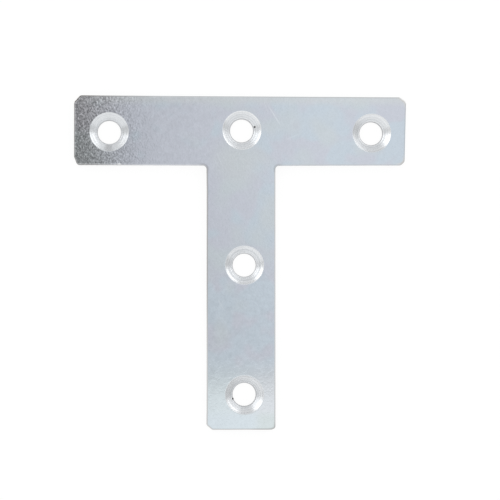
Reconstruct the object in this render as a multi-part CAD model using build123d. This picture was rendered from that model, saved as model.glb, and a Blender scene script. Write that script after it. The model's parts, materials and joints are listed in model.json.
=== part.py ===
from build123d import *

import os
from math import hypot, radians, tan

# A flat T-shaped joining plate for butt joints between two frame members.
# It is blanked from steel sheet, drilled and countersunk for five flat-head
# screws, and zinc plated. The plate lies on Z = 0 with its countersunk face up.
# The bar of the T runs along X and the stem runs towards -Y. The origin is on the
# back face, at the centre of the junction hole, where bar and stem cross.
# All lengths are in millimetres and all angles in degrees.

# Blank
bar_length = 76.2
bar_width = 15.9
overall_height = 76.3  # from the bar's outer edge to the stem's foot
stem_width = 15.8
thickness = 2.3
right_end_slant = 0.4  # the bar's right end is this much shorter at its lower corner
right_arm_taper = 0.2  # the bar's right arm narrows by this much towards its end

# What is clipped off each outer corner, as (along X, along Y)
bar_upper_left_clip = (1.4, 1.6)
bar_upper_right_clip = (1.5, 1.1)
bar_lower_left_clip = (0.75, 1.9)
bar_lower_right_clip = (0.8, 0.8)
stem_foot_left_clip = (1.35, 1.1)
stem_foot_right_clip = (0.9, 0.35)
clip_blend_radius = 0.8  # rounds both ends of a clip
inner_corner_radius = 0.85  # where the bar meets the stem

# The edge that the blanking die leaves
roll_over_radius = 0.3  # drawn down round the countersunk face
clean_cut_share = 0.5  # of the thickness, cut clean before the metal tears
fracture_angle = 4.0  # the torn part below falls back by this much

# Screw holes, for No. 10 flat-head wood screws
screw_shank = 4.8
screw_clearance = 0.5  # on the diameter
countersink_angle = 90.0
land_height = 0.5  # straight hole left under the cone
mouth_radius = 0.15  # breaks the cone's rim
throat_radius = 0.2  # rounds the cone into the straight hole

# Where the holes are
end_margin = 8.0  # from a hole's centre to the end of its arm
junction_hole_shift = (0.2, 0.15)  # right of and above the crossing of the centre lines
bar_end_hole_drop = 0.35  # the bar's end holes lie this far below its centre line
stem_hole_shift = 0.8  # the stem's holes lie this far right of its centre line
stem_middle_hole_drop = 0.55  # below halfway between the crossing and the end hole

# Worked out from the above, from the crossing of the centre lines
half_bar = bar_length / 2
half_stem = stem_width / 2
bar_top = bar_width / 2
bar_underside = -bar_width / 2
stem_foot = bar_top - overall_height
torn_depth = thickness * (1 - clean_cut_share)
hole_radius = (screw_shank + screw_clearance) / 2
cone_radius = hole_radius + (thickness - land_height) * tan(radians(countersink_angle / 2))
bar_end_hole = half_bar - end_margin
stem_end_hole = stem_foot + end_margin
stem_middle_hole = stem_end_hole / 2 - stem_middle_hole_drop

screw_holes = [
    (-bar_end_hole, -bar_end_hole_drop),
    junction_hole_shift,
    (bar_end_hole, -bar_end_hole_drop),
    (stem_hole_shift, stem_middle_hole),
    (stem_hole_shift, stem_end_hole),
]

# The outline's corners, anticlockwise seen from above, each with what is clipped off it
corners = [
    ((-half_bar, bar_top), bar_upper_left_clip),
    ((-half_bar, bar_underside), bar_lower_left_clip),
    ((-half_stem, bar_underside), None),
    ((-half_stem, stem_foot), stem_foot_left_clip),
    ((half_stem, stem_foot), stem_foot_right_clip),
    ((half_stem, bar_underside), None),
    ((half_bar - right_end_slant, bar_underside + right_arm_taper), bar_lower_right_clip),
    ((half_bar, bar_top), bar_upper_right_clip),
]


def point_towards(start, end, clip):
    """The point on the edge from start to end where the corner at start is clipped."""
    edge = Vector(*end) - Vector(*start)
    length = clip[0] if abs(edge.X) > abs(edge.Y) else clip[1]
    return Vector(*start) + edge.normalized() * length


def blank_outline():
    """The T as it leaves the die, with small inner radii and clipped outer corners."""
    points = []
    roundings = []
    for i, (corner, clip) in enumerate(corners):
        before, after = corners[i - 1][0], corners[(i + 1) % len(corners)][0]
        if clip is None:
            ends = [Vector(*corner)]
            radius = inner_corner_radius
        else:
            ends = [point_towards(corner, end, clip) for end in (before, after)]
            radius = min(clip_blend_radius, 0.9 * hypot(*clip))
        points += ends
        roundings.append((ends, radius))

    outline = make_face(Polyline(*points, close=True))
    for ends, radius in roundings:
        sharp = [outline.vertices().sort_by_distance(end)[0] for end in ends]
        outline = fillet(sharp, radius)
    return outline


def blanked_plate():
    """The outline in sheet: rolled over at the top, then cut clean, then torn back."""
    outline = Pos(0, 0, torn_depth) * blank_outline()
    clean_cut = extrude(outline, thickness - torn_depth)
    torn = extrude(outline, torn_depth, dir=(0, 0, -1), taper=fracture_angle)
    plate = clean_cut + torn
    rim = plate.faces().sort_by(Axis.Z)[-1].outer_wire().edges()
    return fillet(rim, roll_over_radius)


def screw_hole():
    """What the drill and the countersink take out: a straight hole under an open cone."""
    section = Polyline(
        (0, -1),
        (hole_radius, -1),
        (hole_radius, land_height),
        (cone_radius, thickness),
        (cone_radius, thickness + 1),
        (0, thickness + 1),
        close=True,
    )
    return revolve(Plane.XZ * make_face(section), Axis.Z)


def circles_at(plate, radius, height):
    circles = plate.edges().filter_by(GeomType.CIRCLE)
    return circles.filter_by(
        lambda edge: abs(edge.radius - radius) < 1e-6
        and abs(edge.arc_center.Z - height) < 1e-6
    )


def tee_plate():
    plate = blanked_plate()
    for x, y in screw_holes:
        plate -= Pos(x, y) * screw_hole()
    plate = fillet(circles_at(plate, cone_radius, thickness), mouth_radius)
    plate = fillet(circles_at(plate, hole_radius, land_height), throat_radius)
    junction_x, junction_y = junction_hole_shift
    return Pos(-junction_x, -junction_y) * plate


os.makedirs("parts", exist_ok=True)
export_step(tee_plate(), "parts/tee_plate.step")
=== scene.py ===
import json
from math import atan2, ceil, cos, exp, hypot, pi, radians, sin, tan

import bpy
from mathutils import Matrix, Vector, geometry, noise


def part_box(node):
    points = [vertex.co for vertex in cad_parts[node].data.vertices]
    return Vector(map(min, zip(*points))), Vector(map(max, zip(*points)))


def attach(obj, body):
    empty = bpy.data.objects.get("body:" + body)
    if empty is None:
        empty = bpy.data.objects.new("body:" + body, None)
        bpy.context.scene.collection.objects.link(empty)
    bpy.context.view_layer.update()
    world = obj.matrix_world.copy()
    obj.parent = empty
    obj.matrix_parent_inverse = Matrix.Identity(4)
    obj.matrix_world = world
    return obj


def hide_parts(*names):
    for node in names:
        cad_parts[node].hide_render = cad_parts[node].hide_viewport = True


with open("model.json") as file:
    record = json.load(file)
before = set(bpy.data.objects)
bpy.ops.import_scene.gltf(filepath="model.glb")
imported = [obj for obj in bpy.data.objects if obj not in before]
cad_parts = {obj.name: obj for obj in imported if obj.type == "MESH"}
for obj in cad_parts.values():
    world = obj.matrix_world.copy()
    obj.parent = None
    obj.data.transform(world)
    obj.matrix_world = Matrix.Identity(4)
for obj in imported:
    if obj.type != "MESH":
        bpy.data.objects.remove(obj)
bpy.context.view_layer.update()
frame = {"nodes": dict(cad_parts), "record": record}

# A flat T-shaped joining plate of zinc-plated steel, lying with its countersunk face
# up. The mesh has the form of the CAD solid, with finer circles, turned countersinks
# and the marks that blanking and handling leave. Lengths are in millimetres until they
# reach a mesh, a shader, a lamp or the camera. Angles are in degrees until they meet a
# sine.
MM = 0.001

# ---------------------------------------------------------------- sizes from the frame
low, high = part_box("tee_plate")
bores = {m["name"]: m for m in frame["record"]["mounts"] if m["kind"] == "bore"}
holes = {name: Vector(m["pos_m"][:2]) / MM for name, m in bores.items()}
hole_radius = bores["junction_hole"]["dims"]["r_mm"]
land_height = bores["junction_hole"]["dims"]["length_mm"]
thickness = high.z / MM

cad_points = [v.co / MM for v in frame["nodes"]["tee_plate"].data.vertices]
bar_left = low.x / MM
bar_right = holes["bar_right_hole"].x + (holes["bar_left_hole"].x - bar_left)
bar_top = high.y / MM
bar_underside = min(p.y for p in cad_points if p.x < bar_left / 2)
stem_foot = low.y / MM
stem_left = min(p.x for p in cad_points if p.y < stem_foot / 2)
stem_right = max(p.x for p in cad_points if p.y < stem_foot / 2)

# ----------------------------------------------------------- sizes that the frame lacks
RIGHT_END_SLANT = 0.4  # the bar's right end is this much shorter at its lower corner
RIGHT_ARM_TAPER = 0.2  # the bar's right arm narrows by this much towards its end

# What is clipped off each outer corner, as (along x, along y)
BAR_UPPER_LEFT_CLIP = (1.4, 1.6)
BAR_UPPER_RIGHT_CLIP = (1.5, 1.1)
BAR_LOWER_LEFT_CLIP = (0.75, 1.9)
BAR_LOWER_RIGHT_CLIP = (0.8, 0.8)
STEM_FOOT_LEFT_CLIP = (1.35, 1.1)
STEM_FOOT_RIGHT_CLIP = (0.9, 0.35)
CLIP_BLEND = 0.8  # rounds both ends of a clip
BLEND_OF_CLIP = 0.9  # the largest blend radius, as a share of the clip's length
REACH_OF_EDGE = 0.48  # the largest share of an edge that one blend takes up
INNER_CORNER = 0.85  # the radius where the bar meets the stem

# The blanked edge
ROLL_OVER = 0.3
TORN_DEPTH = thickness / 2
FRACTURE_ANGLE = 4.0

# The countersinks
CONE_HALF_ANGLE = 45.0
MOUTH_RADIUS = 0.15
THROAT_RADIUS = 0.2
cone_radius = hole_radius + (thickness - land_height) * tan(radians(CONE_HALF_ANGLE))

# ------------------------------------------------------------------------- mesh density
EDGE_STEP = 0.28  # along the straight edges
ARC_STEP = 9.0  # round the corners
ROLL_STEPS, CUT_STEPS, TORN_STEPS = 7, 4, 7  # down the edge
HOLE_SEGMENTS = 160
CONE_RINGS = 40
MOUTH_STEPS, THROAT_STEPS, LAND_STEPS = 8, 5, 3
FACE_GRID = 1.5
EDGE_CLEARANCE = 0.3  # between the face's grid and the rim band
MOUTH_CLEARANCE = 0.5  # between the face's grid and a countersink
COLLAR = 0.05  # narrow flat ring that keeps the face's shading flat up to its edges
SHARP_ANGLE = 40.0  # edges that turn by more than this are shaded sharp

# -------------------------------------------------------------- marks of making and use, painted shade and a painted glint
# The blanked edge falls short of its line, and never stands outside it
EDGE_WANDER = 0.012
WANDER_RATE = 0.45  # changes per millimetre along the edge
WANDER_DOWN = 0.4  # of that rate, down the edge
RAGGEDNESS = 0.035  # of the torn part
RAGGED_RATE = 2.3
TEAR_BAND = 0.15  # the tear sets in over this much above and below its depth
STEM_BOW = 0.045
BOW_MARGIN = 1.5  # straight part at each end of the stem's left side
BOW_FADE = 4.0
ON_SIDE = 0.3  # a point of the outline nearer to a side than this belongs to it

# A nick in the lower edge of the bar's left arm, and how far down from the face it goes. Its
# roll-over gets the bright turned colour as a painted glint.
NICK = {"x": bar_left + 10.3, "half_width": 0.42, "depth": 0.1, "down": 0.98 * ROLL_OVER}

# Painted shade on the blanked edge, with how dark it is at most
LEFT_END_UPPER_EDGE_SHADE = {"reach": 20, "most": 1.8}
LEFT_END_EDGE_SHADE = {"reach": 16, "most": 1.0}
FOOT_EDGE_SHADE = {"x": 5.0, "half_width": 2.8, "most": 0.4}
STEM_EDGE_SHADE = {"from": 16, "to": 34, "most": 0.63}  # heights above the foot

# Painted shade and burnished places on the rim
RIM_BAND = 0.6  # how far in from the edge they reach
CORNER_SPREAD = 1.5
SHADED_CORNERS = (  # corner, and how much painted shade it gets
    ((bar_right, bar_top), 0.17),
    ((bar_right, bar_underside), 0.3),
    ((bar_left, bar_underside), 0.2),
    ((stem_right, stem_foot), 0.35),
    ((stem_left, bar_underside), 0.4),
    ((stem_right, bar_underside), 0.35),
)
BURNISHED_CORNERS = (Vector((bar_right, bar_top)), Vector((bar_right, bar_underside)))
BURNISHED_REACH = 2.2
BURNISHED_ON_BAR = 0.35  # how far the bar's roll-over is burnished, where the stem's is 1

# The countersinks' grooves and burrs, the painted shade at their throats, and the painted shade
# in spots on their cones
GROOVE_DEPTH = 0.006
GROOVE_PITCH = 0.72
GROOVES_FROM_BORE, GROOVES_FROM_MOUTH = 0.3, 0.05  # the cone is smooth this near its ends
CONE_SINK = 0.008  # keeps the grooves' crests inside the solid
SEED_STEP = 7.3  # from hole to hole, so that their grooves differ
TURNED_OFFSET = 20  # the same, for the rings in the material
THROAT_SHADE_FROM, THROAT_SHADE_TO = 0.25, 0.05  # off the bore, where the painted shade sets in and where it is full
BURRS = {"junction_hole": (16, 0.5), "stem_end_hole": (200, 0.15)}  # direction, off the bore
BURR_HEIGHT = 0.14
BURR_ACROSS, BURR_ALONG = 0.2, 0.22
CONE_SHADE_SPOTS = {  # painted shade on the cones: direction from the hole's centre, half width, strength
    "bar_left_hole": ((268, 15, 0.5), (6, 16, 0.42), (316, 28, 0.16), (218, 20, 0.1)),
    "junction_hole": ((162, 9, 0.12), (5, 14, 0.17), (92, 30, 0.05)),
    "bar_right_hole": ((168, 34, 0.30), (5, 14, 0.14), (245, 25, 0.12), (290, 20, 0.08)),
    "stem_middle_hole": ((168, 20, 0.24), (4, 12, 0.14), (222, 18, 0.07), (110, 25, 0.1)),
    "stem_end_hole": ((156, 42, 0.38), (222, 22, 0.24), (90, 25, 0.15)),
}


def rise(value, start, end):
    """0 up to start, 1 from end on, and even in between. The end may be the lower one."""
    return max(0.0, min(1.0, (value - start) / (end - start)))


def plateau(distance, half_width):
    """1 near a distance of 0, falling softly to 0 past the half width."""
    return exp(-((distance / half_width) ** 4))


# ------------------------------------------------------------------------------ outline
def outline_corners():
    """The outline's corners (x, y, clip), anticlockwise seen from above."""
    return [
        (bar_left, bar_top, BAR_UPPER_LEFT_CLIP),
        (bar_left, bar_underside, BAR_LOWER_LEFT_CLIP),
        (stem_left, bar_underside, None),
        (stem_left, stem_foot, STEM_FOOT_LEFT_CLIP),
        (stem_right, stem_foot, STEM_FOOT_RIGHT_CLIP),
        (stem_right, bar_underside, None),
        (bar_right - RIGHT_END_SLANT, bar_underside + RIGHT_ARM_TAPER, BAR_LOWER_RIGHT_CLIP),
        (bar_right, bar_top, BAR_UPPER_RIGHT_CLIP),
    ]


def clipped_corners():
    """The outline's corners with their blend radii, each clip giving two of them."""
    corners = outline_corners()
    clipped = []
    for i, (x, y, clip) in enumerate(corners):
        corner = Vector((x, y))
        if clip is None:
            clipped.append((corner, INNER_CORNER))
            continue
        blend = min(CLIP_BLEND, BLEND_OF_CLIP * hypot(*clip))
        for neighbour in (corners[i - 1], corners[(i + 1) % len(corners)]):
            edge = Vector(neighbour[:2]) - corner
            length = clip[0] if abs(edge.x) > abs(edge.y) else clip[1]
            clipped.append((corner + edge.normalized() * length, blend))
    return clipped


def fitting_radius(corner, radius, before, after):
    """The blend radius that two neighbouring edges leave room for, its reach along them,
    and the angle that the outline turns by."""
    a, b = (before - corner), (after - corner)
    turn = pi - a.angle(b)
    reach = min(radius * tan(turn / 2), REACH_OF_EDGE * a.length, REACH_OF_EDGE * b.length)
    return reach / tan(turn / 2), reach, turn


def rounded_outline():
    """The outline as evenly spaced points, each with its outward normal."""
    corners = clipped_corners()
    count = len(corners)
    bends = []
    for i, (corner, radius) in enumerate(corners):
        before, after = corners[i - 1][0], corners[(i + 1) % count][0]
        bends.append((corner, (after - corner).normalized(), (corner - before).normalized(),
                      *fitting_radius(corner, radius, before, after)))
    points = []
    for i, (corner, leaving, arriving, radius, reach, turn) in enumerate(bends):
        side = 1 if arriving.cross(leaving) > 0 else -1
        left_of_arriving = Vector((-arriving.y, arriving.x))
        centre = corner - arriving * reach + left_of_arriving * side * radius
        start = atan2(*(-left_of_arriving * side).yx)
        steps = max(2, ceil(turn / radians(ARC_STEP)))
        for k in range(steps + 1):
            angle = start + side * turn * k / steps
            ray = Vector((cos(angle), sin(angle)))
            points.append((centre + ray * radius, ray * side))
        next_corner, _, next_arriving, _, next_reach, _ = bends[(i + 1) % count]
        run_start = corner + leaving * reach
        run_end = next_corner - next_arriving * next_reach
        pieces = ceil((run_end - run_start).length / EDGE_STEP)
        for k in range(1, pieces):
            points.append((run_start.lerp(run_end, k / pieces), Vector((leaving.y, -leaving.x))))
    return points


# ----------------------------------------------------------------------------- sections
def edge_section():
    """The blanked edge from the top face down: (inset, height, cut zone, torn zone)."""
    section = [(RIM_BAND, thickness, 0, 0), (ROLL_OVER + COLLAR, thickness, 0, 0),
               (ROLL_OVER, thickness, 0, 0)]
    for k in range(1, ROLL_STEPS + 1):
        t = radians(90 * k / ROLL_STEPS)
        drop = ROLL_OVER * (1 - cos(t))
        section.append((ROLL_OVER * (1 - sin(t)), thickness - drop, k == ROLL_STEPS, 0))
    shoulder = thickness - ROLL_OVER
    for k in range(1, CUT_STEPS + 1):
        section.append((0.0, shoulder + (TORN_DEPTH - shoulder) * k / CUT_STEPS, 1, 0))
    for k in range(1, TORN_STEPS + 1):
        height = TORN_DEPTH * (1 - k / TORN_STEPS)
        section.append(((TORN_DEPTH - height) * tan(radians(FRACTURE_ANGLE)), height, 1, 1))
    section.append((section[-1][0] + COLLAR, 0.0, 0, 0))
    return section


def hole_section():
    """A countersunk hole from the top face down: (radius, height, machined zone)."""
    slope = radians(90 - CONE_HALF_ANGLE)
    mouth_centre = (cone_radius + MOUTH_RADIUS * tan(slope / 2), thickness - MOUTH_RADIUS)
    throat_drop = THROAT_RADIUS * tan(radians(CONE_HALF_ANGLE) / 2)
    throat_centre = (hole_radius + THROAT_RADIUS, land_height - throat_drop)

    def on_arc(centre, radius, t):
        return centre[0] + radius * cos(t), centre[1] + radius * sin(t)

    section = [(mouth_centre[0] + COLLAR, thickness, 0)]
    for k in range(MOUTH_STEPS + 1):
        t = radians(90) + slope * k / MOUTH_STEPS
        section.append((*on_arc(mouth_centre, MOUTH_RADIUS, t), k / MOUTH_STEPS))
    top = section[-1]
    bottom = on_arc(throat_centre, THROAT_RADIUS, radians(180 - CONE_HALF_ANGLE))
    for k in range(1, CONE_RINGS):
        s = k / CONE_RINGS
        section.append((top[0] + (bottom[0] - top[0]) * s, top[1] + (bottom[1] - top[1]) * s, 1))
    for k in range(THROAT_STEPS + 1):
        t = radians(180 - CONE_HALF_ANGLE + CONE_HALF_ANGLE * k / THROAT_STEPS)
        section.append((*on_arc(throat_centre, THROAT_RADIUS, t), 1))
    land_top = section[-1][1]
    for k in range(1, LAND_STEPS + 1):
        section.append((hole_radius, land_top * (1 - k / LAND_STEPS), 1))
    section.append((hole_radius + COLLAR, 0.0, 0))
    return section


# --------------------------------------------------------------------------------- mesh
class PlateMesh:
    """Vertices, faces and one row of finish and painted shade values for each vertex.

    The values are 1 where the metal is machined (on the nick too, whose turned colour is a
    painted glint), cut, torn, near a bore (throat, painted shade that darkens each countersink
    there), on a burr (soil) or burnished (rolled). Two differ: tarnish says how much painted
    shade darkens a place, and turned_radius is the distance from the hole's centre, shifted from
    hole to hole.
    """

    ZONES = ("machined", "cut", "torn", "throat", "turned_radius", "soil", "tarnish", "rolled")
    ON_RING = 0.001  # a triangle further inside a hole's ring than this is left out

    def __init__(self):
        self.verts, self.faces, self.zones = [], [], []

    def add(self, x, y, z, **zones):
        """Adds a vertex and gives its number."""
        self.verts.append((x, y, z))
        self.zones.append([zones.get(name, 0.0) for name in self.ZONES])
        return len(self.verts) - 1

    def loft(self, rings):
        """Joins closed rings of vertex numbers, each to the next."""
        for upper, lower in zip(rings, rings[1:]):
            count = len(upper)
            for i in range(count):
                j = (i + 1) % count
                self.faces.append((upper[i], lower[i], lower[j], upper[j]))

    def fill(self, loops, height, upward, inner_points=()):
        """Triangulates a flat face between the outer loop and the hole loops."""
        numbers = [n for loop in loops for n in loop]
        flat = [Vector(self.verts[n][:2]) for n in numbers] + list(inner_points)
        edges, start = [], 0
        for loop in loops:
            edges += [(start + i, start + (i + 1) % len(loop)) for i in range(len(loop))]
            start += len(loop)
        made, _, triangles, origins, _, _ = geometry.delaunay_2d_cdt(flat, edges, [], 0, 1e-7)
        place = []
        for point, origin in zip(made, origins):
            if origin and origin[0] < len(numbers):
                place.append(numbers[origin[0]])
            else:
                place.append(self.add(point.x, point.y, height))
        outline = flat[: len(loops[0])]
        hole_reach = [
            (hole, (Vector(self.verts[loop[0]][:2]) - hole).length - self.ON_RING)
            for hole, loop in zip(holes.values(), loops[1:])
        ]
        for triangle in triangles:
            centre = sum((made[i] for i in triangle), Vector((0, 0))) / 3
            in_hole = any((centre - hole).length < reach for hole, reach in hole_reach)
            if in_hole or not is_inside(centre, outline):
                continue
            a, b, c = (made[i] for i in triangle)
            facing_up = (b - a).cross(c - a) > 0
            order = triangle if facing_up == upward else reversed(triangle)
            self.faces.append(tuple(place[i] for i in order))

    def to_object(self, name):
        """The finished object, with the finish and painted shade values as attributes of its
        mesh.
        """
        mesh = bpy.data.meshes.new(name)
        mesh.from_pydata([Vector(v) * MM for v in self.verts], [], self.faces)
        for column, zone in enumerate(self.ZONES):
            attribute = mesh.attributes.new(zone, "FLOAT", "POINT")
            attribute.data.foreach_set("value", [row[column] for row in self.zones])
        mesh.validate()
        mesh.update()
        mesh.shade_smooth()
        mesh.set_sharp_from_angle(angle=radians(SHARP_ANGLE))
        made = bpy.data.objects.new(name, mesh)
        bpy.context.scene.collection.objects.link(made)
        return made


def is_inside(point, outline):
    """Whether a point is inside a closed outline, by counting the edges to its right."""
    hit = False
    for i, a in enumerate(outline):
        b = outline[i - 1]
        if (a.y > point.y) != (b.y > point.y):
            if point.x < (b.x - a.x) * (point.y - a.y) / (b.y - a.y) + a.x:
                hit = not hit
    return hit


# --------------------------------------------------------------------- the blanked edge
def nick_share(point):
    """1 in the middle of the nick in the bar's lower edge, and 0 away from it."""
    if point.y > bar_underside + 1 or point.x > stem_left:
        return 0.0
    return plateau(point.x - NICK["x"], NICK["half_width"])


def stem_bow(point):
    """How far the stem's left side bows in between its two corners."""
    if abs(point.x - stem_left) > ON_SIDE:
        return 0.0
    upper_end, lower_end = bar_underside - BOW_MARGIN, stem_foot + BOW_MARGIN
    below_bar = rise(point.y, upper_end, upper_end - BOW_FADE)
    above_clip = rise(point.y, lower_end, lower_end + BOW_FADE)
    return STEM_BOW * below_bar * above_clip


def edge_wear(point, height):
    """How far the blanked edge falls short of its line at a point."""
    slow = Vector((point.x, point.y, height * WANDER_DOWN)) * WANDER_RATE
    fast = Vector((point.x, point.y, height)) * RAGGED_RATE
    in_torn_zone = rise(height, TORN_DEPTH + TEAR_BAND, TORN_DEPTH - TEAR_BAND)
    wander = EDGE_WANDER * (1 + noise.noise(slow))
    ragged = RAGGEDNESS * abs(noise.noise(fast)) * in_torn_zone
    nick = NICK["depth"] * nick_share(point) * (height > thickness - NICK["down"])
    return wander + ragged + nick + stem_bow(point)


def rolled_share(point, inset):
    """How far the rim is burnished to a neutral grey: on the roll-over, mostly round the
    stem, and further in at the bar's right corners."""
    on_stem = rise(point.y, bar_underside, bar_underside - 2)
    most = BURNISHED_ON_BAR + (1 - BURNISHED_ON_BAR) * on_stem
    on_roll_over = most * rise(inset, ROLL_OVER, 0.7 * ROLL_OVER)
    apart = min((point - corner).length for corner in BURNISHED_CORNERS)
    return max(on_roll_over, plateau(apart, BURNISHED_REACH) * (inset < RIM_BAND))


def edge_painted_shade(point, normal):
    """How much painted shade darkens the blanked edge: all round the bar's left end, on the
    stem's left side, fading out above the foot, and under the foot's right half."""
    if point.x < stem_left - 1:
        end = LEFT_END_UPPER_EDGE_SHADE if normal.y > 0.5 else LEFT_END_EDGE_SHADE
        return end["most"] * max(0.0, 1 - (point.x - bar_left) / end["reach"])
    if normal.y < -0.5 and point.y < stem_foot + 1:
        off_middle = point.x - FOOT_EDGE_SHADE["x"]
        return FOOT_EDGE_SHADE["most"] * plateau(off_middle, FOOT_EDGE_SHADE["half_width"])
    above_foot = rise(point.y - stem_foot, STEM_EDGE_SHADE["from"], STEM_EDGE_SHADE["to"])
    return STEM_EDGE_SHADE["most"] * max(0.0, -normal.x) * above_foot


def corner_painted_shade(point):
    """How much painted shade darkens the rim at these corners."""
    return max(strength * plateau((point - Vector(corner)).length, CORNER_SPREAD)
               for corner, strength in SHADED_CORNERS)


def add_outer_edge(plate):
    """Adds the blanked edge. Gives the outline's points and the edge's rings, top first."""
    outline = rounded_outline()
    rings = []
    for inset, height, cut, torn in edge_section():
        on_roll_over = 0.02 < inset < ROLL_OVER and height > TORN_DEPTH
        ring = []
        for point, normal in outline:
            moved = point - normal * (inset + edge_wear(point, height))
            # the nick's roll-over takes the bright turned colour as a painted glint, with no cut
            # colour or painted shade
            nick_glint = nick_share(point) * on_roll_over
            # painted shade on the blanked edge
            tarnish = edge_painted_shade(point, normal) * (height < thickness) * (1 - nick_glint)
            # painted shade on the rim at some corners
            tarnish = max(tarnish, corner_painted_shade(point) * (inset < RIM_BAND))
            ring.append(plate.add(moved.x, moved.y, height, cut=cut * (1 - nick_glint), torn=torn,
                                  machined=nick_glint, tarnish=tarnish,
                                  rolled=rolled_share(point, inset)))
        rings.append(ring)
    plate.loft(rings)
    return outline, rings


# -------------------------------------------------------------------------- screw holes
def groove_depth(name, radius, angle):
    """The chatter that the countersink leaves: rings that differ from hole to hole."""
    seed = SEED_STEP * list(holes).index(name)
    pitch = GROOVE_PITCH + 0.1 * noise.noise(Vector((seed, 0, 0)))
    strength = 0.6 + 0.4 * noise.noise(Vector((radius, seed, 0)))
    rings = sin(2 * pi * radius / pitch + seed) * strength
    wobble = 0.5 * noise.noise(Vector((cos(angle), sin(angle), radius + seed)) * 1.5)
    return GROOVE_DEPTH * (rings + wobble)


def burr_share(name, radius, angle):
    """1 on top of a hole's burr, and 0 away from it or in a hole without one."""
    if name not in BURRS:
        return 0.0
    direction, off_bore = BURRS[name]
    apart = angle - radians(direction)
    across = radius * sin(apart)
    along = radius - hole_radius - off_bore
    if cos(apart) < 0:
        return 0.0
    return exp(-((across / BURR_ACROSS) ** 2) - (along / BURR_ALONG) ** 2)


def cone_shade_share(name, angle):
    """How much painted shade darkens a hole's cone in a direction from the hole's centre."""
    share = 0.0
    for direction, half_width, strength in CONE_SHADE_SPOTS[name]:
        apart = (angle - radians(direction) + pi) % (2 * pi) - pi
        share += strength * plateau(apart, radians(half_width))
    return share


def add_screw_hole(plate, name, hole):
    """Adds one countersunk hole. Gives its rings, top first."""
    slope = radians(CONE_HALF_ANGLE)
    turned_offset = TURNED_OFFSET * list(holes).index(name)
    rings = []
    for radius, height, machined in hole_section():
        on_cone = hole_radius + GROOVES_FROM_BORE < radius < cone_radius - GROOVES_FROM_MOUTH
        off_bore = radius - hole_radius
        # painted shade, setting in towards the bore
        throat = rise(off_bore, THROAT_SHADE_FROM, THROAT_SHADE_TO)
        ring = []
        for k in range(HOLE_SEGMENTS):
            t = -2 * pi * k / HOLE_SEGMENTS
            sunk = groove_depth(name, radius, t) if on_cone else 0.0
            burr = burr_share(name, radius, t) if machined == 1 else 0.0
            lift = BURR_HEIGHT * burr - sunk - CONE_SINK * on_cone
            out = Vector((cos(t), sin(t))) * (radius - lift * cos(slope))
            z = height + lift * sin(slope) * on_cone
            # painted shade on the cones, by direction from the hole's centre
            ring.append(plate.add(hole.x + out.x, hole.y + out.y, z, machined=machined,
                                  throat=throat, turned_radius=radius + turned_offset,
                                  soil=burr, tarnish=cone_shade_share(name, t) * on_cone))
        rings.append(ring)
    plate.loft(rings)
    return rings


# ---------------------------------------------------------------------- the whole plate
def face_grid(outline):
    """Staggered points that break the big flat face into even triangles."""
    border = [point - normal * (RIM_BAND + EDGE_CLEARANCE) for point, normal in outline]
    mouth = hole_section()[0][0] + MOUTH_CLEARANCE
    points = []
    for i in range(int((bar_right - bar_left) / FACE_GRID)):
        for j in range(int((bar_top - stem_foot) / FACE_GRID)):
            x = bar_left + (i + 0.5 + 0.5 * (j % 2)) * FACE_GRID
            point = Vector((x, stem_foot + (j + 0.5) * FACE_GRID))
            clear = all((point - hole).length > mouth for hole in holes.values())
            if clear and is_inside(point, border):
                points.append(point)
    return points


def build_plate():
    """The plate as one closed mesh: the edge, the holes and the two flat faces."""
    plate = PlateMesh()
    outline, edge_rings = add_outer_edge(plate)
    hole_rings = [add_screw_hole(plate, name, hole) for name, hole in holes.items()]
    top_loops = [edge_rings[0], *(rings[0] for rings in hole_rings)]
    back_loops = [edge_rings[-1], *(rings[-1] for rings in hole_rings)]
    plate.fill(top_loops, thickness, True, face_grid(outline))
    plate.fill(back_loops, 0.0, False)
    return plate.to_object("zinc_tee_plate")


# -------------------------------------------------------------------------------- nodes
class Nodes:
    """A short way to write node trees, called n below. Each call adds a node, or a few,
    and gives the output."""

    def __init__(self, tree):
        self.tree = tree

    def add(self, kind, inputs=(), output=0, **settings):
        made = self.tree.nodes.new("ShaderNode" + kind)
        for name, value in settings.items():
            setattr(made, name, value)
        for key, value in dict(inputs).items():
            if isinstance(value, bpy.types.NodeSocket):
                self.tree.links.new(value, made.inputs[key])
            else:
                made.inputs[key].default_value = value
        return made.outputs[output] if made.outputs else made

    def math(self, operation, *values, clamp=False):
        return self.add("Math", enumerate(values), operation=operation, use_clamp=clamp)

    def ramp(self, value, start, end, out_start=0.0, out_end=1.0, smooth=True):
        kind = "SMOOTHSTEP" if smooth else "LINEAR"
        return self.add("MapRange", {0: value, 1: start, 2: end, 3: out_start, 4: out_end},
                        interpolation_type=kind)

    def ramp_mm(self, length, start, end, out_start=0.0, out_end=1.0):
        """A ramp over a length, with its start and end in millimetres."""
        return self.ramp(length, start * MM, end * MM, out_start, out_end)

    def mix(self, factor, a, b):
        """Mixes two colours."""
        return self.add("Mix", {0: factor, 6: a, 7: b}, output=2, data_type="RGBA")

    def mix_values(self, factor, a, b):
        return self.add("Mix", {0: factor, 2: a, 3: b})

    def greatest(self, values):
        most = values[0]
        for value in values[1:]:
            most = self.math("MAXIMUM", most, value)
        return most

    def noise(self, place, size, detail, seed):
        """Noise, 0 to 1, with features about size millimetres across."""
        return self.add("TexNoise", {"Vector": place, "W": seed, "Scale": 1 / (size * MM),
                                     "Detail": detail, "Roughness": 0.55}, noise_dimensions="4D")

    def rings(self, turned_radius, width, detail):
        """Noise, 0 to 1, in rings about width millimetres wide round each hole."""
        return self.add("TexNoise", {"W": turned_radius, "Scale": 1 / width, "Detail": detail},
                        noise_dimensions="1D")


def grey(level):
    """A grey as a colour."""
    return (level, level, level, 1)
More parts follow.
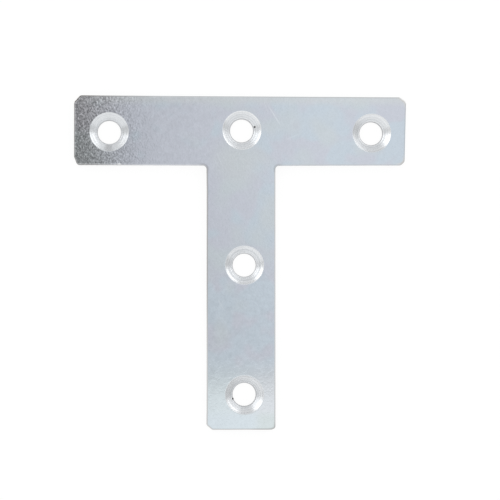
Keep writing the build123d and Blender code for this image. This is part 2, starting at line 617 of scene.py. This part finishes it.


# ------------------------------------------------------------------- the plate's finish, with painted shade, glints and reflection
# Colours, as linear red, green, blue and alpha
LILAC = (0.545, 0.573, 0.640, 1)
CYAN = (0.530, 0.597, 0.663, 1)
GREEN = (0.548, 0.600, 0.638, 1)
PALE = (0.560, 0.600, 0.627, 1)
FOOT_LEFT, FOOT_RIGHT = (0.545, 0.603, 0.630, 1), (0.560, 0.590, 0.620, 1)
TOE_LEFT, TOE_RIGHT = (0.535, 0.592, 0.630, 1), (0.520, 0.570, 0.580, 1)
TOP_EDGE = (0.583, 0.616, 0.634, 1)
# painted reflection: the duller, less blue tone of the dark gap that the bar's left end reflects
LEFT_END_REFLECTION_LOWER, LEFT_END_REFLECTION_UPPER = (0.545, 0.572, 0.575, 1), (0.565, 0.562, 0.585, 1)
BURNISHED = grey(0.64)
SCRATCHED = (0.70, 0.75, 0.79, 1)
TURNED_DARK, TURNED_LIGHT = (0.78, 0.80, 0.82, 1), (0.90, 0.915, 0.93, 1)
# painted shade, darkening each countersink towards its bore
PAINTED_THROAT_COLOUR = (0.40, 0.40, 0.41, 1)
CUT_WALL, TORN_WALL = (0.52, 0.53, 0.54, 1), (0.45, 0.46, 0.47, 1)
# painted shade on the blanked edge, at some corners of the rim and in spots on the cones
PAINTED_SHADE_COLOUR = (0.13, 0.12, 0.11, 1)
SOIL = grey(0.04)

LEAN_SPOTS = (  # centre, radius, and how far towards lilac (below 0) or cyan
    ((-1.0, -12.0), 7.0, -0.2),
    ((-4.5, -30.0), 8.0, -0.22),
    ((4.5, -22.0), 5.5, 0.22),
    ((16.0, -6.0), 7.0, -0.25),
    ((18.5, 2.0), 6.0, 0.2),
    ((29.0, 6.0), 6.0, -0.15),
    ((35.5, 5.0), 5.0, -0.25),
    ((-5.5, -48.0), 5.0, -0.25),
)
COLOUR_SPOTS = (  # centre, radius, strength and colour
    ((-1.0, -6.8), 8.0, 0.9, PALE),
    ((10.5, 2.0), 4.5, 0.6, GREEN),
)
SCRATCHES = (  # from, to, width and strength
    ((5.7, 6.2), (9.1, 0.7), 0.28, 0.42),
    ((4.9, 7.0), (6.1, 3.9), 0.25, 0.2),
    ((-5.9, -4.8), (-4.6, -8.0), 0.3, 0.25),
    ((-6.6, -6.2), (-5.2, -8.6), 0.25, 0.2),
    ((-5.7, -38.3), (-4.0, -41.3), 0.25, 0.3),
    ((-4.1, -38.6), (-5.4, -40.8), 0.25, 0.22),
    ((9.5, -2.4), (14.0, -0.4), 0.3, 0.15),
    ((-31.8, 7.2), (-32.8, 5.5), 0.3, 0.7),
)

FACE_ROUGHNESS = (0.045, 0.065)  # least and most
ADDED_ROUGHNESS = {"machined": 0.26, "cut": 0.25, "torn": 0.1}
GRAIN_DEPTH = 0.0055
FOOT_GRAIN = 0.28  # share of that depth at the foot
FOLD_DEPTH = 0.0008
TURNING_DEPTH = 0.02
TEAR_DEPTH = 0.03


def scratch(n, x, y, start, end, width, strength):
    """A fine bright line on the face from start to end, strongest at its middle."""
    run = Vector(end) - Vector(start)
    length, run = run.length, run.normalized()
    dx, dy = n.math("SUBTRACT", x, start[0] * MM), n.math("SUBTRACT", y, start[1] * MM)
    along = n.math("MULTIPLY_ADD", dx, run.x, n.math("MULTIPLY", dy, run.y))
    aside = n.math("MULTIPLY_ADD", dx, -run.y, n.math("MULTIPLY", dy, run.x))
    off_middle = n.math("ABSOLUTE", n.math("SUBTRACT", along, length * MM / 2))
    lengthwise = n.ramp_mm(off_middle, 0.2 * length, 0.5 * length, strength, 0.0)
    across = n.ramp_mm(n.math("ABSOLUTE", aside), 0.0, width, 1.0, 0.0)
    return n.math("MULTIPLY", lengthwise, across)


def spot(n, place, centre, radius):
    """1 at a point of the face, fading to 0 at the radius."""
    point = (*(Vector(centre) * MM), thickness * MM)
    away = n.add("VectorMath", {0: place, 1: point}, output="Value", operation="DISTANCE")
    return n.ramp_mm(away, 0.2 * radius, radius, 1.0, 0.0)


def passivated_colour(n, place, x, y):
    """Blue passivated zinc: lilac patches, mostly on the left, and cyan ones, mostly on the
    right and the lower stem, with green ones everywhere but on the left arm."""
    to_right, to_foot = n.ramp_mm(x, -6, 14, -0.12, 0.07), n.ramp_mm(y, -42, -24, 0.12, -0.12)
    lean = n.math("MAXIMUM", to_right, to_foot)
    for centre, radius, shift in LEAN_SPOTS:
        lean = n.math("ADD", lean, n.math("MULTIPLY", spot(n, place, centre, radius), shift))
    lean = n.math("ADD", n.noise(place, 5.0, 1.0, seed=1.0), lean)
    tint = n.mix(n.ramp(lean, 0.40, 0.60), LILAC, CYAN)
    greenish = n.ramp(n.noise(place, 8.0, 1.0, seed=4.0), 0.52, 0.70)
    tint = n.mix(n.math("MULTIPLY", greenish, n.ramp_mm(x, -20, -10)), tint, GREEN)
    for centre, radius, strength, colour in COLOUR_SPOTS:
        share = n.math("MULTIPLY", spot(n, place, centre, radius), strength)
        tint = n.mix(share, tint, colour)
    return tint


def foot_colour(n, x, y):
    """The stem's foot: less blue than the rest, and a little darker at its very end."""
    foot = n.mix(n.ramp_mm(x, -5, 5), FOOT_LEFT, FOOT_RIGHT)
    toe = n.mix(n.ramp_mm(x, 2, 5), TOE_LEFT, TOE_RIGHT)
    return n.mix(n.ramp_mm(y, stem_foot + 5, stem_foot + 2.5), foot, toe)


def mottling_and_painted_glints(n, place, x, y):
    """What the face's colour is multiplied by: strong fine speckle at the bar's left end, painted
    glints and shade of the grain in the dark reflection there, and soft patches, clearest on the
    left arm and the lower stem."""
    # painted glints and shade: the grain's speckle as it shows in the dark reflection at the
    # bar's left end
    glint_speckle = n.ramp(n.noise(place, 0.45, 1.7, seed=8.0), 0.25, 0.75, -0.6, 0.6, smooth=False)
    glint_speckle_share = n.ramp_mm(x, bar_left + 3, bar_left + 18, 1.0, 0.05)
    patches = n.ramp(n.noise(place, 0.95, 2.0, seed=7.0), 0.25, 0.75, -0.065, 0.065, smooth=False)
    lower_stem = n.math("MINIMUM", n.ramp_mm(y, -28, -36), n.ramp_mm(y, -60, -54))
    patched = n.math("MAXIMUM", n.ramp_mm(x, -12, -4, 1.0, 0.0), lower_stem)
    patches = n.math("MULTIPLY", patches, n.ramp(patched, 0.0, 1.0, 0.35, 1.0, smooth=False))
    return n.math("MULTIPLY_ADD", glint_speckle, glint_speckle_share, n.math("ADD", patches, 1.0))


def face_colour(n, place, x, y):
    """The flat faces: the passivated zinc, then the foot, the paler top edge, the painted
    reflection at the bar's left end, and the mottling and painted glints over all of them."""
    tint = passivated_colour(n, place, x, y)
    tint = n.mix(n.ramp_mm(y, stem_foot + 18, stem_foot + 9), tint, foot_colour(n, x, y))
    tint = n.mix(n.ramp_mm(y, bar_top - 2.6, bar_top - 0.6, 0.0, 0.75), tint, TOP_EDGE)
    # painted reflection of the dark gap at the bar's left end
    left_end_reflection = n.mix(n.ramp_mm(y, -2, 1), LEFT_END_REFLECTION_LOWER, LEFT_END_REFLECTION_UPPER)
    tint = n.mix(n.ramp_mm(x, bar_left, bar_left + 15, 0.8, 0.0), tint, left_end_reflection)
    return n.add("VectorMath", {0: tint, "Scale": mottling_and_painted_glints(n, place, x, y)}, operation="SCALE")


def plate_colour(n, place, x, y, zones):
    """The flat faces, the burnished rim and the scratches, then the turned holes, the painted
    shade at their throats, the blanked edge, the painted shade on edges, corners and cones, and
    the dirt on the burrs."""
    colour = n.mix(zones["rolled"], face_colour(n, place, x, y), BURNISHED)
    scratches = [scratch(n, x, y, *line) for line in SCRATCHES]
    colour = n.mix(n.greatest(scratches), colour, SCRATCHED)
    rings = n.rings(zones["turned_radius"], 0.35, 1.5)
    turned = n.mix(n.ramp(rings, 0.35, 0.65), TURNED_DARK, TURNED_LIGHT)
    colour = n.mix(zones["machined"], colour, turned)
    # painted shade, darkening each countersink towards its bore
    colour = n.mix(n.math("MULTIPLY", zones["throat"], 0.7), colour, PAINTED_THROAT_COLOUR)
    colour = n.mix(zones["cut"], colour, n.mix(zones["torn"], CUT_WALL, TORN_WALL))
    # painted shade on the blanked edge, at some corners of the rim and in spots on the cones
    colour = n.mix(n.math("MULTIPLY", zones["tarnish"], 0.6), colour, PAINTED_SHADE_COLOUR)
    return n.mix(n.ramp(zones["soil"], 0.1, 0.6), colour, SOIL)


def plate_roughness(n, place, zones):
    """Bright plated faces, and rougher turned, cut and torn ones."""
    rough = n.ramp(n.noise(place, 2.5, 3.0, seed=2.0), 0.3, 0.7, *FACE_ROUGHNESS)
    for zone, added in ADDED_ROUGHNESS.items():
        rough = n.math("ADD", rough, n.math("MULTIPLY", zones[zone], added))
    return rough


def plate_bump(n, place, y, zones):
    """The plating's fine grain and its hairline folds, then the turned rings in the holes
    and the torn part's grain."""
    worked = n.math("MAXIMUM", zones["machined"], zones["cut"])
    on_face = n.math("SUBTRACT", 1.0, worked, clamp=True)
    stretched = n.add("VectorMath", {0: place, 1: (1.0, 0.85, 1.0)}, operation="MULTIPLY")
    grain = n.math("MULTIPLY", n.noise(stretched, 0.36, 1.5, seed=3.0), on_face)
    above_foot = n.ramp_mm(y, stem_foot + 18, stem_foot + 40, FOOT_GRAIN, 1.0)
    grain = n.math("MULTIPLY", grain, above_foot)
    fold = n.math("ABSOLUTE", n.math("SUBTRACT", n.noise(place, 1.6, 2.0, seed=6.0), 0.5))
    folds = n.math("MULTIPLY", n.ramp(fold, 0.0, 0.05), on_face)
    turning = n.math("MULTIPLY", n.rings(zones["turned_radius"], 0.7, 0.5), zones["machined"])
    tear = n.math("MULTIPLY", n.noise(place, 0.25, 2.0, seed=5.0), zones["torn"])
    bump = n.add("Bump", {"Height": grain, "Distance": GRAIN_DEPTH * MM})
    for height, depth in ((folds, FOLD_DEPTH), (turning, TURNING_DEPTH), (tear, TEAR_DEPTH)):
        bump = n.add("Bump", {"Height": height, "Distance": depth * MM, "Normal": bump})
    return bump


def zinc_material():
    """Bright zinc plating on steel."""
    material = bpy.data.materials.new("zinc_plated_steel")
    material.use_nodes = True
    tree = material.node_tree
    shader = tree.nodes["Principled BSDF"]
    shader.inputs["Metallic"].default_value = 1.0
    n = Nodes(tree)
    place = n.add("TexCoord", output="Object")
    x, y = (n.add("SeparateXYZ", {0: place}, output=axis) for axis in "XY")
    zones = {zone: n.add("Attribute", output="Fac", attribute_name=zone)
             for zone in PlateMesh.ZONES}
    tree.links.new(plate_colour(n, place, x, y, zones), shader.inputs["Base Color"])
    tree.links.new(plate_roughness(n, place, zones), shader.inputs["Roughness"])
    tree.links.new(plate_bump(n, place, y, zones), shader.inputs["Normal"])
    return material


# -------------------------------------------------------------------------------- floor
FLOOR_REACH = 1500.0
FLOOR_GAP = 0.1  # the floor lies this far below the plate's back face
FLOOR_GREY = 0.12
FLOOR_GLOW = 0.90


def floor_material():
    """Light on the object comes from the floor's plain diffuse colour, and the floor's
    white, to the eye and in reflections, from a glow that still shows the shadow."""
    material = bpy.data.materials.new("white_sweep")
    material.use_nodes = True
    tree = material.node_tree
    tree.nodes.clear()
    n = Nodes(tree)
    rays = ("Is Camera Ray", "Is Glossy Ray", "Is Transmission Ray")
    seen = n.greatest([n.add("LightPath", output=ray) for ray in rays])
    glow = n.add("Emission", {"Strength": n.math("MULTIPLY", seen, FLOOR_GLOW)})
    diffuse = n.add("BsdfDiffuse", {"Color": grey(FLOOR_GREY)})
    n.add("OutputMaterial", {"Surface": n.add("AddShader", {0: glow, 1: diffuse})})
    return material


def add_floor():
    """A plain white floor."""
    r = FLOOR_REACH * MM
    mesh = bpy.data.meshes.new("floor")
    mesh.from_pydata([(-r, -r, 0), (r, -r, 0), (r, r, 0), (-r, r, 0)], [], [(0, 1, 2, 3)])
    mesh.materials.append(floor_material())
    floor = bpy.data.objects.new("floor", mesh)
    floor.location.z = -FLOOR_GAP * MM
    bpy.context.scene.collection.objects.link(floor)


# --------------------------------------------------------------------------- light tent
TENT_LEVEL = 0.97
GAP_LEVEL = 0.33
FOOT_PANEL_LEVEL = 0.36  # more than the cloth round it
SHADED_WALLS = (  # azimuth, half width, soft edge and level
    (187, 6, 5, 0.72),
    (357, 12, 8, 0.5),
    (90, 30, 15, 0.62),
)


def overhead_level(n, right, back):
    """The cloth overhead, by how much a direction slopes to the right and to the back."""
    # it brightens to the right, with a brighter panel in front of the stem's foot
    level = n.ramp(right, -0.006, 0.095, 0.86, 1.065, smooth=False)
    level = n.math("MULTIPLY", level, n.ramp(back, -0.03, 0.06, 0.93, 1.0, smooth=False))
    panel = n.math("MINIMUM", n.ramp(back, -0.070, -0.051, 1.0, 0.0), n.ramp(back, -0.15, -0.11))
    level = n.math("ADD", level, n.math("MULTIPLY", panel, FOOT_PANEL_LEVEL))
    # a dark gap to the left, which the bar's left end reflects
    leaning = n.math("MULTIPLY_ADD", n.math("SUBTRACT", back, 0.092), 0.17, right)
    gap = n.ramp(leaning, -0.048, -0.006, GAP_LEVEL, 1.0, smooth=False)
    beside = n.greatest([
        n.ramp(back, 0.122, 0.137),
        n.ramp(back, 0.035, 0.050, 1.0, 0.0),
        n.ramp(right, -0.10, -0.08, 1.0, 0.0),
    ])
    level = n.math("MULTIPLY", level, n.math("MAXIMUM", gap, beside))
    # beyond what the flat face reflects, the tent is even
    off_middle = n.math("ABSOLUTE", n.math("SUBTRACT", right, 0.05))
    reach = n.math("MAXIMUM", off_middle, n.math("ABSOLUTE", back))
    return n.mix_values(n.ramp(reach, 0.13, 0.17), level, TENT_LEVEL)


def wall_level(n, x, y, z):
    """The walls: even cloth, with a darker stretch low down to the left, to the right and
    beyond the bar."""
    level = TENT_LEVEL
    low_down = n.ramp(z, 0.35, 0.45, 1.0, 0.0)
    across = n.math("SUBTRACT", 1.0, n.math("MULTIPLY", z, z))
    across = n.math("SQRT", n.math("MAXIMUM", across, 1e-4))
    for azimuth, half_width, soft_edge, shaded in SHADED_WALLS:
        towards_x = n.math("MULTIPLY", x, cos(radians(azimuth)))
        towards_y = n.math("MULTIPLY", y, sin(radians(azimuth)))
        towards = n.math("DIVIDE", n.math("ADD", towards_x, towards_y), across)
        outer, inner = cos(radians(half_width + soft_edge)), cos(radians(half_width))
        stretch = n.ramp(towards, outer, inner)
        level = n.mix_values(n.math("MULTIPLY", stretch, low_down), level, shaded)
    return level


def add_world():
    """A white light tent round the plate."""
    world = bpy.data.worlds.new("light_tent")
    world.use_nodes = True
    tree = world.node_tree
    tree.nodes.clear()
    n = Nodes(tree)
    direction = n.add("TexCoord", output="Generated")
    x, y, z = (n.add("SeparateXYZ", {0: direction}, output=axis) for axis in "XYZ")
    up = n.math("MAXIMUM", z, 0.05)
    overhead = overhead_level(n, n.math("DIVIDE", x, up), n.math("DIVIDE", y, up))
    level = n.mix_values(n.ramp(z, 0.90, 0.97), wall_level(n, x, y, z), overhead)
    background = n.add("Background", {"Color": grey(1.0), "Strength": level})
    n.add("OutputWorld", {"Surface": background})
    bpy.context.scene.world = world


# ---------------------------------------------------------------------------- softboxes
LAMP_AIM = Vector((0.0, -30.0, 0.0))
LAMP_DISTANCE = 600.0
LAMP_ELEVATION = 12
LAMP_HEIGHT = 190.0
SOFTBOXES = (  # name, azimuth, width and radiance
    ("left_softbox", 147, 460.0, 1.3),
    ("right_softbox", 37, 580.0, 1.4),
)


def add_softbox(name, azimuth, width, radiance):
    """A rectangular lamp at the tent's side, facing the plate."""
    along_floor = cos(radians(LAMP_ELEVATION))
    away = Vector((cos(radians(azimuth)) * along_floor, sin(radians(azimuth)) * along_floor,
                   sin(radians(LAMP_ELEVATION))))
    data = bpy.data.lights.new(name, "AREA")
    data.shape = "RECTANGLE"
    data.size = width * MM
    data.size_y = LAMP_HEIGHT * MM
    data.energy = radiance * pi * (width * MM) * (LAMP_HEIGHT * MM)
    lamp = bpy.data.objects.new(name, data)
    lamp.location = LAMP_AIM * MM + away * (LAMP_DISTANCE * MM)
    lamp.rotation_euler = away.to_track_quat("Z", "Y").to_euler()
    lamp.visible_camera = False
    bpy.context.scene.collection.objects.link(lamp)


# ------------------------------------------------------------------------------- camera
SENSOR = 36.0
FOCAL_LENGTH = 126.2
CLIP_START = 10.0
CAMERA_PLACE = Vector((-21.4, -34.7, 400.0 + thickness))
CAMERA_AIM = Vector((1.84, -27.42, thickness))


def add_camera():
    """The camera looks down on the plate, with the bar at the top of the picture."""
    data = bpy.data.cameras.new("camera")
    data.sensor_width = SENSOR
    data.lens = FOCAL_LENGTH
    data.clip_start = CLIP_START * MM
    camera = bpy.data.objects.new("camera", data)
    bpy.context.scene.collection.objects.link(camera)
    forward = (CAMERA_AIM - CAMERA_PLACE).normalized()
    right = forward.cross(Vector((0, 1, 0))).normalized()
    rotation = Matrix((right, right.cross(forward), -forward)).transposed()
    camera.matrix_world = Matrix.Translation(CAMERA_PLACE * MM) @ rotation.to_4x4()
    bpy.context.scene.camera = camera


# -------------------------------------------------------------------------------- scene
plate = build_plate()
plate.data.materials.append(zinc_material())
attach(plate, "root")
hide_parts("tee_plate")
add_floor()
add_world()
for softbox in SOFTBOXES:
    add_softbox(*softbox)
add_camera()
bpy.context.scene.view_settings.view_transform = "Standard"
